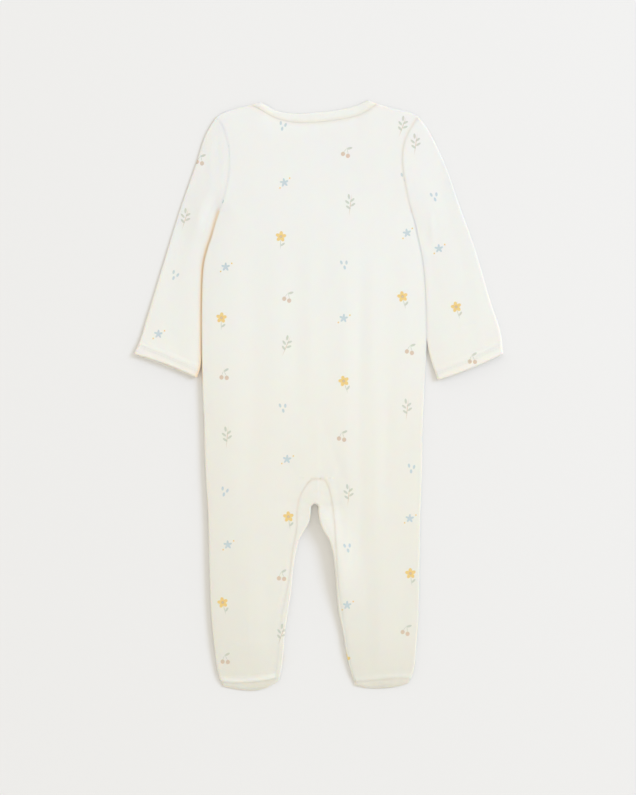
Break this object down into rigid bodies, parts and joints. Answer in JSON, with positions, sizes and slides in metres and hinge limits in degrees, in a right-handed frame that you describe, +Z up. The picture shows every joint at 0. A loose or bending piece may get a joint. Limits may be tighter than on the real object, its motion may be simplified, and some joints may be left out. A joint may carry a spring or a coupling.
{
  "type": "footed baby sleepsuit",
  "caption": "Long-sleeved baby sleepsuit with feet, lying flat on its front, back uppermost: set-in sleeves, narrow neckband, arched crotch seam and lens-shaped soles.",
  "frame": {"origin": "centre of the outline, on the surface the suit lies on", "axes": "+X across the suit, +Y from the feet towards the neck, +Z up, away from the surface"},
  "size_m": [0.3504, 0.56, 0.0116],
  "materials": {
    "cloth": "matt printed cotton interlock, off-white",
    "neckband": "matt cotton rib, cream"
  },
  "bodies": {
    "root": {"back": "cloth", "front": "cloth", "neckband": "neckband", "inner_leg_band": "cloth", "sleeve_left": "cloth", "sleeve_right": "cloth", "sole_left": "cloth", "sole_right": "cloth"}
  },
  "joints": []
}
